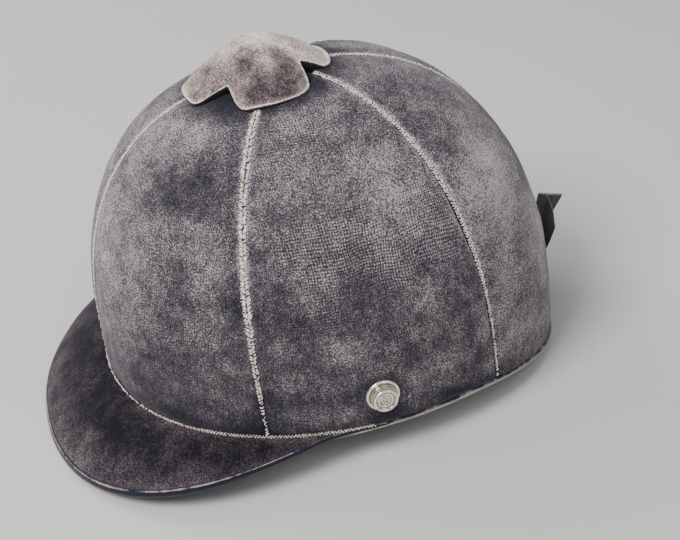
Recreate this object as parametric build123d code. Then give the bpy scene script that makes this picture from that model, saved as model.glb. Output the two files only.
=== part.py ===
from build123d import *
import math
import os

# Velvet-covered riding helmet: hard shell, six velvet panels, separate peak,
# four-lobed crown button, press studs at the sides, ribbon tails at the back,
# crash liner, quilted lining and leather sweatband.
# All lengths are millimetres. Front is -Y, the wearer's left is +X, up is +Z.
# Helper functions work with z = 0 at the widest level of the dome; the whole
# helmet is moved at the end so that it stands on z = 0 and is centred in plan.

# Dome, measured over the velvet
HALF_WIDTH = 104.0
FRONT_REACH = 116.5
REAR_REACH = 119.5
CROWN_HEIGHT = 138.5
PLAN_POWER = 2.25
SIDE_POWER = 2.37
FRONT_POWER = 2.55
REAR_POWER = 2.35
TOP_FRACTION = 0.996
SKIRT_DEPTH = 32.0

# Layers, as distances inward from the outside of the velvet
VELVET = 1.2
SHELL_IN = 4.2
FOAM_IN = 14.2
LINING_IN = 16.7
BAND_FOAM_IN = 21.7
BAND_LEATHER_IN = 23.1
CROWN_PAD_IN = 20.2

# Lower rim, seen from the side
SIDE_RIM = -8.5
GROUND = -24.5
RIM_TURN_START = 42.0
RIM_TURN_END = 112.0
RIM_TURN_POWER = 1.75
BINDING_HEIGHT = 2.5
BINDING_IN = 5.4
BAND_RISE = 3.2
BAND_TALL = 45.0
BAND_FOAM_TALL = 38.0

# Panel seams, as plan angles from the front
SEAM_FRONT_SIDE = 64.0
SEAM_SIDE_REAR = 121.0
SEAM_GAP = 0.6

# Peak
PEAK_REACH = 39.6
PEAK_END_ANGLE = 92.0
PEAK_FULLNESS = 4.2
PEAK_TAPER = 3.5
PEAK_EDGE_RISE = 15.5
PEAK_RISE_FROM = 0.19
PEAK_RISE_TO = 0.79
PEAK_BOW = 1.6
PEAK_THICK_FRONT = 4.4
PEAK_THICK_END = 2.3
PEAK_TOP_CLOTH = 0.8
PEAK_UNDER_CLOTH = 0.6
PEAK_GLUE = 0.15
PEAK_EDGE_WIDTH = 1.3
JUNCTION_LEVEL = -6.2
JUNCTION_SLOPE = -0.084
BROW_DROP = 5.2

# Crown button
BUTTON_Y = -13.0
BUTTON_RADIUS = 37.0
BUTTON_TOP = 153.5
BUTTON_BALL = 45.5
BUTTON_CLOTH = 1.1
BUTTON_CORE_INSET = 5.5
NOTCH_DEPTH_RADIUS = 23.0
NOTCH_HALF_ANGLE = 42.0
NOTCH_TIP_ROUND = 2.5
LOBE_CORNER_ROUND = 6.0
RIVET_SHANK_RADIUS = 2.0
RIVET_HEAD_RADIUS = 6.0
RIVET_HEAD_THICK = 1.0
RIVET_SHANK_LENGTH = 9.0
RIVET_SUNK = 1.3

# Press studs for the chin harness
STUD_Y = 3.0
STUD_Z = 10.0
STUD_FLANGE_RADIUS = 8.2
STUD_FLANGE_THICK = 1.1
STUD_LAND_RADIUS = 6.0
STUD_LAND_LENGTH = 3.6
STUD_NECK_RADIUS = 5.4
STUD_NECK_LENGTH = 0.9
STUD_DISH_RADIUS = 3.9
STUD_DISH_DEPTH = 1.3
STUD_POST_RADIUS = 1.8
STUD_WASHER_RADIUS = 6.5
STUD_WASHER_THICK = 0.8
STUD_WASHER_GAP = 0.6

# Ribbon at the back
RIBBON_THICK = 0.6
BACKING_WIDTH = 44.0
BACKING_HEIGHT = 14.0
BACKING_LEVEL = -5.0
BACKING_THICK = 1.4
KNOT_WIDTH = 16.0
KNOT_HEIGHT = 11.0
KNOT_THICK = 3.2
TAIL_PIVOT_Y = 124.2
TAIL_PIVOT_Z = 3.4
TAIL_ROOT = 1.4
TAIL_LENGTH = 28.5
TAIL_SLANT = 9.0
TAIL_ROOT_WIDTH = 10.5
TAIL_END_WIDTH = 19.0
TAIL_SPREAD = 1.8
TAIL_MIDDLE_GAP = 1.0
TAIL_LEAN_LEFT = 8.0
TAIL_LEAN_RIGHT = 34.5

# Inside trim
BOW_WIDTH = 20.0
BOW_HEIGHT = 9.0
BOW_THICK = 1.4
CROWN_PAD_RADIUS = 46.0

# Placement of the finished helmet
PEAK_TIP_Y = -(FRONT_REACH + PEAK_REACH)
TAIL_TURN = math.radians(TAIL_LEAN_RIGHT)
TAIL_OUT = TAIL_LENGTH * math.sin(TAIL_TURN) + 0.5 * RIBBON_THICK * math.cos(TAIL_TURN)
TAIL_TIP_Y = TAIL_PIVOT_Y + TAIL_OUT
SHIFT_Y = -0.5 * (PEAK_TIP_Y + TAIL_TIP_Y)
SHIFT_Z = -GROUND


def smooth(t):
    t = min(max(t, 0.0), 1.0)
    return t * t * (3.0 - 2.0 * t)


def narrowing(level, power):
    return (1.0 - min(max(level, 0.0), 1.0) ** power) ** (1.0 / power)


def plan_point(angle, z=0.0, inset=0.0):
    """Point of the dome, inset millimetres inward, at a plan angle from the front."""
    level = z / (CROWN_HEIGHT - inset)
    s = math.sin(math.radians(angle))
    c = math.cos(math.radians(angle))
    reach = (abs(s) ** PLAN_POWER + abs(c) ** PLAN_POWER) ** (-1.0 / PLAN_POWER)
    across = (HALF_WIDTH - inset) * narrowing(level, SIDE_POWER)
    if c > 0:
        along = (FRONT_REACH - inset) * narrowing(level, FRONT_POWER)
    else:
        along = (REAR_REACH - inset) * narrowing(level, REAR_POWER)
    return (across * reach * s, -along * reach * c, z)


def section(z, inset, point_count=24):
    points = [plan_point(360.0 * i / point_count, z, inset) for i in range(point_count)]
    return Wire([Edge.make_spline(points, periodic=True)])


def dome(inset, skirt=SKIRT_DEPTH):
    """Solid dome, open to a skirt below its widest level."""
    height = CROWN_HEIGHT - inset
    levels = [-skirt, -0.5 * skirt, 0.0]
    steps = 9
    for i in range(1, steps + 1):
        turn = math.asin(TOP_FRACTION) * i / steps
        levels.append(height * math.sin(turn))
    return Solid.make_loft([section(z, inset) for z in levels])


def hollow(outer, inner):
    """Dome-shaped layer between two insets, open at the bottom of the skirt."""
    big = dome(outer)
    small = dome(inner)
    outer_floor = big.faces().sort_by(Axis.Z)[0]
    inner_floor = small.faces().sort_by(Axis.Z)[0]
    ring = Face(outer_floor.outer_wire(), [inner_floor.outer_wire()])
    skins = [f for f in big.faces() if f.center().Z > -SKIRT_DEPTH + 0.01]
    skins += [f for f in small.faces() if f.center().Z > -SKIRT_DEPTH + 0.01]
    return Solid(Shell(skins + [ring]))


def rim_level(y):
    t = min(max((y - RIM_TURN_START) / (RIM_TURN_END - RIM_TURN_START), 0.0), 1.0)
    return SIDE_RIM + (GROUND - SIDE_RIM) * t ** RIM_TURN_POWER


def above_curve(level, top=220.0, first=-170.0, last=170.0):
    """Everything between a side-view curve z = level(y) and a flat top."""
    count = 20
    curve = [(0.0, first + (last - first) * i / count) for i in range(count + 1)]
    points = [(-200.0, y, level(y)) for x, y in curve]
    low = Edge.make_spline(points)
    up_back = Edge.make_line(points[-1], (-200.0, last, top))
    across = Edge.make_line((-200.0, last, top), (-200.0, first, top))
    down_front = Edge.make_line((-200.0, first, top), points[0])
    face = Face(Wire([low, up_back, across, down_front]))
    return extrude(face, 400.0, dir=(1, 0, 0))


def largest(shape):
    return max(shape.solids(), key=lambda s: s.volume)


def junction_level(y):
    return JUNCTION_LEVEL + JUNCTION_SLOPE * y


# ---- Dome layers ----

outside = dome(0.0)

above_rim = above_curve(rim_level)
above_binding = above_curve(lambda y: rim_level(y) + BINDING_HEIGHT)
above_band_start = above_curve(lambda y: rim_level(y) + BAND_RISE)
above_foam_start = above_curve(lambda y: rim_level(y) + BAND_RISE + 2.0)
above_band_end = above_curve(lambda y: rim_level(y) + BAND_RISE + BAND_TALL)
above_foam_end = above_curve(lambda y: rim_level(y) + BAND_RISE + BAND_FOAM_TALL)

outer_shell = largest(hollow(VELVET, SHELL_IN) & above_binding)
crash_liner = largest(hollow(SHELL_IN, FOAM_IN) & above_binding)
quilted_lining = largest(hollow(FOAM_IN, LINING_IN) & above_band_start)
sweatband_foam = largest((hollow(LINING_IN, BAND_FOAM_IN) & above_foam_start) - above_foam_end)
sweatband_leather = largest((hollow(BAND_FOAM_IN, BAND_LEATHER_IN) & above_band_start) - above_band_end)
rim_binding = largest((hollow(0.0, BINDING_IN) & above_rim) - above_binding)
pad_column = Cylinder(CROWN_PAD_RADIUS, 80.0, align=(Align.CENTER, Align.CENTER, Align.MIN))
crown_pad = largest(hollow(LINING_IN, CROWN_PAD_IN) & (Pos(0, 0, 70) * pad_column))

# ---- Velvet panels ----


def junction_or_rim(y):
    """Lower edge of the panels: the peak in front, the rim binding behind."""
    behind = smooth((y + 8.0) / 14.0)
    rim = rim_level(y) + BINDING_HEIGHT
    return (1.0 - behind) * max(junction_level(y), rim) + behind * rim


def seam_strip(angle):
    """Thin upright strip from the crown centre outward along one seam."""
    start = plan_point(angle)
    turn = math.degrees(math.atan2(start[1], start[0]))
    strip = Box(200.0, SEAM_GAP, 400.0, align=(Align.MIN, Align.CENTER, Align.CENTER))
    return Rot(0, 0, turn) * strip


velvet = hollow(0.0, VELVET) & above_curve(junction_or_rim)
for seam_angle in (SEAM_FRONT_SIDE, SEAM_SIDE_REAR, 360.0 - SEAM_SIDE_REAR, 360.0 - SEAM_FRONT_SIDE):
    velvet = velvet - seam_strip(seam_angle)
velvet = velvet - Box(SEAM_GAP, 400.0, 400.0)
panels = {}
for piece in velvet.solids():
    if piece.volume < 500.0:
        continue
    where = piece.center()
    side = "left" if where.X > 0 else "right"
    if where.Y < -45:
        place = "front"
    elif where.Y < 45 and abs(where.X) > 55:
        place = "side"
    else:
        place = "rear"
    panels["velvet_panel_" + place + "_" + side] = piece

# ---- Peak ----


def peak_reach(angle):
    u = min(abs(angle) / PEAK_END_ANGLE, 1.0)
    return PEAK_REACH * (1.0 - u ** PEAK_FULLNESS) ** PEAK_TAPER


def outward(angle):
    nx = math.sin(math.radians(angle)) / HALF_WIDTH
    ny = -math.cos(math.radians(angle)) / FRONT_REACH
    size = math.hypot(nx, ny)
    return (nx / size, ny / size)


def peak_top(angle, reach):
    """Top of the peak at a plan angle and a distance out from the dome."""
    base = plan_point(angle)
    n = outward(angle)
    u = abs(angle) / PEAK_END_ANGLE
    rise = smooth((u - PEAK_RISE_FROM) / (PEAK_RISE_TO - PEAK_RISE_FROM))
    edge = GROUND + PEAK_THICK_FRONT + PEAK_EDGE_RISE * rise
    width = max(peak_reach(angle), 8.0)
    start = junction_level(base[1])
    edge = min(edge, start - 0.5)
    v = reach / width
    bow = PEAK_BOW * 4.0 * v * (1.0 - v) * min(peak_reach(angle) / 20.0, 1.0)
    z = start + (edge - start) * v + max(bow, -2.0)
    return (base[0] + n[0] * reach, base[1] + n[1] * reach, z)


def peak_thickness(angle):
    u = abs(angle) / PEAK_END_ANGLE
    return PEAK_THICK_FRONT + (PEAK_THICK_END - PEAK_THICK_FRONT) * smooth((u - 0.3) / 0.65)


def peak_layer(depth_top, depth_bottom, first, inset):
    """Strip of the peak between two depths, lofted around the front."""
    sections = []
    count = 32
    limit = PEAK_END_ANGLE + 3.0
    for i in range(count + 1):
        angle = -limit + 2.0 * limit * i / count
        start = first(angle)
        end = max(peak_reach(angle) - inset, start + 1.2)
        middle = 0.5 * (start + end)
        upper = []
        for reach in (start, middle, end):
            p = peak_top(angle, reach)
            upper.append(Vector(p[0], p[1], p[2] - depth_top(angle)))
        lower = []
        for reach in (end, middle, start):
            p = peak_top(angle, reach)
            lower.append(Vector(p[0], p[1], p[2] - depth_bottom(angle)))
        over = Edge.make_spline(upper)
        outer = Edge.make_line(upper[-1], lower[0])
        under = Edge.make_spline(lower)
        inner = Edge.make_line(lower[-1], upper[0])
        sections.append(Wire([over, outer, under, inner]))
    return Solid.make_loft(sections)


def depth_zero(angle):
    return 0.0


def depth_top_cloth(angle):
    return PEAK_TOP_CLOTH


def depth_core_top(angle):
    return PEAK_TOP_CLOTH + PEAK_GLUE


def depth_core_bottom(angle):
    return peak_thickness(angle) - PEAK_UNDER_CLOTH - PEAK_GLUE


def depth_under_cloth(angle):
    return peak_thickness(angle) - PEAK_UNDER_CLOTH


def inside_dome(angle):
    return -4.0


def edge_inner(angle):
    return max(peak_reach(angle) - PEAK_EDGE_WIDTH, -4.0)


top_blank = peak_layer(depth_zero, depth_top_cloth, inside_dome, PEAK_EDGE_WIDTH)
core_blank = peak_layer(depth_core_top, depth_core_bottom, inside_dome, PEAK_EDGE_WIDTH + PEAK_GLUE)
under_blank = peak_layer(depth_under_cloth, peak_thickness, inside_dome, PEAK_EDGE_WIDTH)
edge_blank = peak_layer(depth_zero, peak_thickness, edge_inner, 0.0)
peak_top_velvet = largest(top_blank - outside)
peak_core = largest(core_blank - outside)
peak_under_cloth = largest(under_blank - outside)
peak_edge_binding = largest(edge_blank - outside)

brow_low = above_curve(lambda y: rim_level(y) + BINDING_HEIGHT)
brow_high = above_curve(lambda y: max(junction_level(y) - BROW_DROP, -60.0))
brow_zone = Pos(0, -95.0, 0) * Box(160.0, 60.0, 60.0)
brow_strip = largest((((hollow(0.0, VELVET)) & brow_low) - brow_high) & brow_zone)

# ---- Crown button ----


def button_outline(inset):
    """Four-lobed plan of the crown button."""
    plan = Circle(BUTTON_RADIUS - inset)
    tip = NOTCH_DEPTH_RADIUS - inset
    far = BUTTON_RADIUS + 20.0
    spread = (far - tip) * math.tan(math.radians(NOTCH_HALF_ANGLE))
    for quarter in range(4):
        turned = Rot(0, 0, 45.0 + 90.0 * quarter)
        wedge = Polygon((tip, 0), (far, -spread), (far, spread), align=None)
        plan -= turned * wedge
    tips = [v for v in plan.vertices() if math.hypot(v.X, v.Y) < tip + 2.0]
    plan = fillet(tips, NOTCH_TIP_ROUND)
    corners = [v for v in plan.vertices() if math.hypot(v.X, v.Y) > BUTTON_RADIUS - inset - 1.0]
    return fillet(corners, LOBE_CORNER_ROUND)


def button_block(inset, side_inset):
    column = extrude(Pos(0, BUTTON_Y, 100.0) * button_outline(side_inset), 80.0)
    ball = Pos(0, BUTTON_Y, BUTTON_TOP - BUTTON_BALL) * Sphere(BUTTON_BALL - inset)
    return (column & ball) - outside


button_whole = button_block(0.0, 0.0)
crown_button_core = largest(button_block(BUTTON_CLOTH, BUTTON_CORE_INSET))
crown_button_velvet = largest(button_whole - crown_button_core)
rivet_bottom = CROWN_HEIGHT - SHELL_IN - RIVET_SUNK
standing = (Align.CENTER, Align.CENTER, Align.MIN)
shank_bar = Cylinder(RIVET_SHANK_RADIUS, RIVET_SHANK_LENGTH, align=standing)
head_disc = Cylinder(RIVET_HEAD_RADIUS, RIVET_HEAD_THICK, align=standing)
rivet_shank = Pos(0, BUTTON_Y, rivet_bottom) * shank_bar
rivet_head = Pos(0, BUTTON_Y, rivet_bottom - RIVET_HEAD_THICK) * head_disc
button_rivet = largest(rivet_shank + rivet_head)
crown_button_core = largest(crown_button_core - button_rivet)
outer_shell = largest(outer_shell - button_rivet)
crash_liner = largest(crash_liner - button_rivet)
rivet_hole = Pos(0, BUTTON_Y, CROWN_HEIGHT) * Cylinder(RIVET_SHANK_RADIUS + 0.2, 20.0)
for side in ("left", "right"):
    name = "velvet_panel_front_" + side
    panels[name] = largest(panels[name] - rivet_hole)

# ---- Press studs ----


def across(start, end, radius, side):
    """Cylinder along X between two distances from the middle plane."""
    length = end - start
    bar = Cylinder(radius, length, align=(Align.CENTER, Align.CENTER, Align.MIN))
    placed = Pos(start, STUD_Y, STUD_Z) * Rot(0, 90, 0) * bar
    if side < 0:
        placed = mirror(placed, about=Plane.YZ)
    return placed


FLANGE_START = HALF_WIDTH - 0.1
NECK_START = FLANGE_START + STUD_FLANGE_THICK
LAND_START = NECK_START + STUD_NECK_LENGTH
LAND_END = LAND_START + STUD_LAND_LENGTH
WASHER_END = HALF_WIDTH - SHELL_IN - STUD_WASHER_GAP
WASHER_START = WASHER_END - STUD_WASHER_THICK


def press_stud(side):
    flange = across(FLANGE_START, NECK_START, STUD_FLANGE_RADIUS, side)
    neck = across(NECK_START, LAND_START, STUD_NECK_RADIUS, side)
    land = across(LAND_START, LAND_END, STUD_LAND_RADIUS, side)
    dish = across(LAND_END - STUD_DISH_DEPTH, LAND_END + 1.0, STUD_DISH_RADIUS, side)
    return largest(flange + neck + land - dish)


def press_post(side):
    return across(WASHER_END, FLANGE_START, STUD_POST_RADIUS, side)


def press_washer(side):
    return across(WASHER_START, WASHER_END, STUD_WASHER_RADIUS, side)


hardware = {}
for side, word in ((1, "left"), (-1, "right")):
    stud = press_stud(side)
    post = press_post(side)
    washer = press_washer(side)
    hardware["snap_stud_" + word] = stud
    hardware["snap_post_" + word] = post
    hardware["snap_washer_" + word] = washer
    outer_shell = largest(outer_shell - post)
    crash_liner = largest(crash_liner - washer - post)
    name = "velvet_panel_side_" + word
    panels[name] = largest(panels[name] - post - stud)

# ---- Ribbon at the back ----


def back_pad(width, height, depth_in, depth_out):
    """Padded piece on the back of the dome."""
    deep = depth_out - depth_in
    middle = REAR_REACH + depth_in + 0.5 * deep
    block = Pos(0, middle, BACKING_LEVEL) * Box(width, deep, height)
    return fillet(block.edges().filter_by(Axis.Y), 2.0)


backing_block = back_pad(BACKING_WIDTH, BACKING_HEIGHT, -3.0, BACKING_THICK)
ribbon_backing = largest(backing_block - outside)
knot_block = back_pad(KNOT_WIDTH, KNOT_HEIGHT, BACKING_THICK, BACKING_THICK + KNOT_THICK)
ribbon_knot = largest(knot_block)


def ribbon_tail(side, lean):
    """Slant-cut tail, drawn flat, then leaned back about its stitch line."""
    near = TAIL_MIDDLE_GAP
    corners = [
        (near, TAIL_ROOT),
        (near + TAIL_ROOT_WIDTH, TAIL_ROOT),
        (near + TAIL_SPREAD + TAIL_END_WIDTH, TAIL_LENGTH - TAIL_SLANT),
        (near + TAIL_SPREAD, TAIL_LENGTH),
    ]
    points = [(side * x, z) for x, z in corners]
    outline = Plane.XZ * Polygon(*points, align=None)
    plate = extrude(outline, 0.5 * RIBBON_THICK, both=True)
    return Pos(0, TAIL_PIVOT_Y, TAIL_PIVOT_Z) * Rot(-lean, 0, 0) * plate


ribbon_tail_left = ribbon_tail(1, TAIL_LEAN_LEFT)
ribbon_tail_right = ribbon_tail(-1, TAIL_LEAN_RIGHT)

# ---- Small bow at the back of the sweatband ----

bow_face = REAR_REACH - BAND_LEATHER_IN - 1.3
bow_block = Pos(0, bow_face - 0.5 * BOW_THICK, 10.0) * Box(BOW_WIDTH, BOW_THICK, BOW_HEIGHT)
sweatband_bow = largest(fillet(bow_block.edges().filter_by(Axis.Y), 2.0))

# ---- Export ----

nodes = {
    "outer_shell": outer_shell,
    "crash_liner": crash_liner,
    "quilted_lining": quilted_lining,
    "crown_pad": crown_pad,
    "sweatband_foam": sweatband_foam,
    "sweatband_leather": sweatband_leather,
    "sweatband_bow": sweatband_bow,
    "rim_binding": rim_binding,
    "peak_core": peak_core,
    "peak_top_velvet": peak_top_velvet,
    "peak_under_cloth": peak_under_cloth,
    "peak_edge_binding": peak_edge_binding,
    "brow_strip": brow_strip,
    "crown_button_core": crown_button_core,
    "crown_button_velvet": crown_button_velvet,
    "button_rivet": button_rivet,
    "ribbon_backing": ribbon_backing,
    "ribbon_knot": ribbon_knot,
    "ribbon_tail_left": ribbon_tail_left,
    "ribbon_tail_right": ribbon_tail_right,
}
nodes.update(panels)
nodes.update(hardware)

os.makedirs("parts", exist_ok=True)
for name, solid in nodes.items():
    placed = Pos(0, SHIFT_Y, SHIFT_Z) * solid
    export_step(placed, "parts/" + name + ".step")
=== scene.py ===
import math
import random

import bpy
from mathutils import Matrix, Vector, noise


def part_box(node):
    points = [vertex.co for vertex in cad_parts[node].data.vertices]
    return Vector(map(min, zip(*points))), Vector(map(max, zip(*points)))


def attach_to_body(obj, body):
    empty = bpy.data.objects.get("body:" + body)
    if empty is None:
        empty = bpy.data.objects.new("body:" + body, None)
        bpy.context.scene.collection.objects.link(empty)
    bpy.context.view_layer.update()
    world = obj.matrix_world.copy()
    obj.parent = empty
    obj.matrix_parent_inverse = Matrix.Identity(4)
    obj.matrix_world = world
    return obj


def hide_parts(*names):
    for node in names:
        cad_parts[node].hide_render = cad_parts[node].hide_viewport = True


# Looks of the velvet riding helmet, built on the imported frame.
# Lengths below are millimetres in the dome's own axes: x to the wearer's left,
# y to the back, z up from the widest level. place() turns them into metres in
# the row frame.

MM = 0.001

# Dome, as in the design
HALF_WIDTH = 104.0
FRONT_REACH = 116.5
REAR_REACH = 119.5
CROWN_HEIGHT = 138.5
PLAN_POWER = 2.25
SIDE_POWER = 2.37
FRONT_POWER = 2.55
REAR_POWER = 2.35
TOP_FRACTION = 0.9965

# Rim and panels
SIDE_RIM = -8.5
GROUND = -24.5
RIM_TURN_START = 42.0
RIM_TURN_END = 112.0
RIM_TURN_POWER = 1.75
BINDING_HEIGHT = 2.5
VELVET = 1.2
SEAMS = (0.0, 64.0, 121.0, 180.0, 239.0, 296.0)
PANEL_NAMES = (
    "velvet_panel_front_left",
    "velvet_panel_side_left",
    "velvet_panel_rear_left",
    "velvet_panel_rear_right",
    "velvet_panel_side_right",
    "velvet_panel_front_right",
)

# Peak
PEAK_REACH = 39.6
PEAK_END_ANGLE = 92.0
PEAK_FULLNESS = 4.2
PEAK_TAPER = 3.5
PEAK_EDGE_RISE = 15.5
PEAK_RISE_FROM = 0.19
PEAK_RISE_TO = 0.79
PEAK_BOW = 1.6
PEAK_THICK_FRONT = 4.4
PEAK_THICK_END = 2.3
JUNCTION_LEVEL = -6.2
JUNCTION_SLOPE = -0.084

# Crown button
BUTTON_Y = -13.0
BUTTON_RADIUS = 37.0
BUTTON_TOP = 153.5
BUTTON_BALL = 45.5
NOTCH_RADIUS = 23.5
# Middle and half width of each notch, in degrees from the front
NOTCHES = ((45.0, 43.0), (139.0, 38.0), (225.0, 43.0), (315.0, 43.0))

# Press stud
STUD_Y = 3.0
STUD_Z = 10.0

# Ribbon tails
TAIL_PIVOT_Y = 124.2
TAIL_PIVOT_Z = 3.4
TAIL_ROOT = 1.4
TAIL_LENGTH = 28.5
TAIL_SLANT = 9.0
TAIL_ROOT_WIDTH = 10.5
TAIL_END_WIDTH = 19.0
TAIL_SPREAD = 1.8
TAIL_LEAN_LEFT = 8.0
TAIL_LEAN_RIGHT = 34.5

# Camera, from the framing of the view
CAMERA_AZIMUTH = 79.29
CAMERA_ELEVATION = 31.25
CAMERA_DISTANCE = 673.8
CAMERA_ROLL = -9.02
CAMERA_TARGET = (-14.4, 14.6, 8.7)
CAMERA_LENS = 65.29

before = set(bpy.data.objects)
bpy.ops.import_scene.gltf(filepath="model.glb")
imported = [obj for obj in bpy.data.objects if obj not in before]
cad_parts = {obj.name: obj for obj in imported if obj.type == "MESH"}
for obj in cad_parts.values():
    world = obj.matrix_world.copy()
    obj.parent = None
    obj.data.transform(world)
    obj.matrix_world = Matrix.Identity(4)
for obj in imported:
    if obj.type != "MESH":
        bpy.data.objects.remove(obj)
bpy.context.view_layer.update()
rim_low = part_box("rim_binding")[0]
SHIFT_Y = rim_low[1] / MM + FRONT_REACH
SHIFT_Z = rim_low[2] / MM - GROUND


def place(x, y, z):
    return Vector((x * MM, (y + SHIFT_Y) * MM, (z + SHIFT_Z) * MM))


def smooth(t):
    t = min(max(t, 0.0), 1.0)
    return t * t * (3.0 - 2.0 * t)


def mixed(a, b, t):
    return a + (b - a) * t


# ---- Shape of the dome and the peak ----


def narrowing(level, power):
    return (1.0 - min(max(level, 0.0), 1.0) ** power) ** (1.0 / power)


def dome_spans(level, ahead, out=0.0):
    """Half width, and reach to the front or the back, at a share of the height."""
    across = (HALF_WIDTH + out) * narrowing(level, SIDE_POWER)
    if ahead:
        return across, (FRONT_REACH + out) * narrowing(level, FRONT_POWER)
    return across, (REAR_REACH + out) * narrowing(level, REAR_POWER)


def dome_point(angle, z, out=0.0):
    """Point of the dome at a plan angle from the front, out millimetres proud."""
    s = math.sin(math.radians(angle))
    c = math.cos(math.radians(angle))
    reach = (abs(s) ** PLAN_POWER + abs(c) ** PLAN_POWER) ** (-1.0 / PLAN_POWER)
    across, along = dome_spans(z / (CROWN_HEIGHT + out), c > 0, out)
    return Vector((across * reach * s, -along * reach * c, z))


def dome_level(x, y):
    """Height of the dome over a plan point."""
    low = 0.0
    high = CROWN_HEIGHT
    for step in range(24):
        z = 0.5 * (low + high)
        across, along = dome_spans(z / CROWN_HEIGHT, y < 0)
        shares = (abs(x) / max(across, 1e-6), abs(y) / max(along, 1e-6))
        if shares[0] ** PLAN_POWER + shares[1] ** PLAN_POWER < 1.0:
            low = z
        else:
            high = z
    return 0.5 * (low + high)


def rim_level(y):
    t = min(max((y - RIM_TURN_START) / (RIM_TURN_END - RIM_TURN_START), 0.0), 1.0)
    return SIDE_RIM + (GROUND - SIDE_RIM) * t ** RIM_TURN_POWER


def junction_level(y):
    return JUNCTION_LEVEL + JUNCTION_SLOPE * y


def panel_foot(y):
    """Lower edge of the velvet panels."""
    behind = smooth((y + 8.0) / 14.0)
    rim = rim_level(y) + BINDING_HEIGHT
    return mixed(max(junction_level(y), rim), rim, behind)


def peak_reach(angle):
    u = min(abs(angle) / PEAK_END_ANGLE, 1.0)
    return PEAK_REACH * (1.0 - u ** PEAK_FULLNESS) ** PEAK_TAPER


def outward(angle):
    """Level direction square to the dome's outline at a plan angle."""
    turn = math.radians(angle)
    return Vector((math.sin(turn) / HALF_WIDTH, -math.cos(turn) / FRONT_REACH, 0.0)).normalized()


def peak_top(angle, reach):
    base = dome_point(angle, 0.0)
    u = abs(angle) / PEAK_END_ANGLE
    rise = smooth((u - PEAK_RISE_FROM) / (PEAK_RISE_TO - PEAK_RISE_FROM))
    width = max(peak_reach(angle), 8.0)
    start = junction_level(base.y)
    edge = min(GROUND + PEAK_THICK_FRONT + PEAK_EDGE_RISE * rise, start - 0.5)
    v = reach / width
    bow = PEAK_BOW * 4.0 * v * (1.0 - v) * min(peak_reach(angle) / 20.0, 1.0)
    point = base + outward(angle) * reach
    point.z = start + (edge - start) * v + max(bow, -2.0)
    return point


def peak_thickness(angle):
    u = abs(angle) / PEAK_END_ANGLE
    return mixed(PEAK_THICK_FRONT, PEAK_THICK_END, smooth((u - 0.3) / 0.65))


# ---- Mesh helpers ----


def add_object(name, data):
    obj = bpy.data.objects.new(name, data)
    bpy.context.scene.collection.objects.link(obj)
    return obj


def make_object(name, points, faces, material):
    """Smooth mesh from points in the dome's own axes."""
    mesh = bpy.data.meshes.new(name)
    mesh.from_pydata([place(*p) for p in points], [], faces)
    mesh.update()
    mesh.polygons.foreach_set("use_smooth", [True] * len(mesh.polygons))
    mesh.materials.append(material)
    return add_object(name, mesh)


def grid_faces(rows, columns, start=0, around=False, flip=False, ring=False):
    """Quads of a grid stored row by row.

    around closes each row on itself, and ring joins the last row to the first.
    """
    faces = []
    last_column = columns if around else columns - 1
    last_row = rows if ring else rows - 1
    for j in range(last_row):
        here = start + j * columns
        after = start + (j + 1) % rows * columns
        for i in range(last_column):
            k = (i + 1) % columns
            quad = (here + i, here + k, after + k, after + i)
            faces.append(quad[::-1] if flip else quad)
    return faces


def rim_strip(loop_a, loop_b):
    """Quads joining two closed loops of vertex numbers."""
    count = len(loop_a)
    return [(loop_a[i], loop_a[(i + 1) % count], loop_b[(i + 1) % count], loop_b[i]) for i in range(count)]


def grid_border(rows, columns, start=0):
    bottom = [start + i for i in range(columns)]
    right = [start + j * columns + columns - 1 for j in range(1, rows)]
    top = [start + (rows - 1) * columns + i for i in range(columns - 2, -1, -1)]
    left = [start + j * columns for j in range(rows - 2, 0, -1)]
    return bottom + right + top + left


def thick_sheet(name, outer, inner, rows, columns, material):
    """Closed sheet between two grids of points of the same layout."""
    count = rows * columns
    faces = grid_faces(rows, columns)
    faces += grid_faces(rows, columns, count, flip=True)
    faces += rim_strip(grid_border(rows, columns, count), grid_border(rows, columns))
    return make_object(name, outer + inner, faces, material)


def attach(obj, slot, *nodes, body="helmet"):
    """Hand a finished piece to the frame, in place of the named nodes."""
    if nodes:
        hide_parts(*nodes)
    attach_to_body(obj, body)


def set_uv(obj, values):
    """values holds one (u, v) in metres for each vertex."""
    layer = obj.data.uv_layers.new(name="cloth")
    for loop in obj.data.loops:
        layer.data[loop.index].uv = values[loop.vertex_index]


def set_paint(obj, name, values):
    """One number for each vertex, read by a material's Attribute node."""
    attribute = obj.data.attributes.new(name, "FLOAT", "POINT")
    attribute.data.foreach_set("value", values)


def rumple(point, size, seed):
    """Slow unevenness, about -1 to 1, over a length of size millimetres."""
    return noise.noise(Vector(point) / size + Vector((seed, 2.3 * seed, 0.7)))


def lathe(name, profile, material, segments=72):
    """Solid of revolution about x; profile is (distance along x, radius, darkening), the darkening being
    painted shade in the recesses.
    """
    points = []
    dull_and_shaded = []
    for along, radius, tarnish_and_shade in profile:
        dull_and_shaded += [tarnish_and_shade] * segments
        for i in range(segments):
            turn = math.tau * i / segments
            points.append((along, STUD_Y + radius * math.cos(turn), STUD_Z + radius * math.sin(turn)))
    faces = grid_faces(len(profile), segments, around=True)
    first = len(points)
    points.append((profile[0][0], STUD_Y, STUD_Z))
    points.append((profile[-1][0], STUD_Y, STUD_Z))
    for i in range(segments):
        j = (i + 1) % segments
        faces.append((first, j, i))
        base = (len(profile) - 1) * segments
        faces.append((first + 1, base + i, base + j))
    obj = make_object(name, points, faces, material)
    set_paint(obj, "tarnish_and_shade", dull_and_shaded + [0.0, dull_and_shaded[-1]])
    return obj


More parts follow.
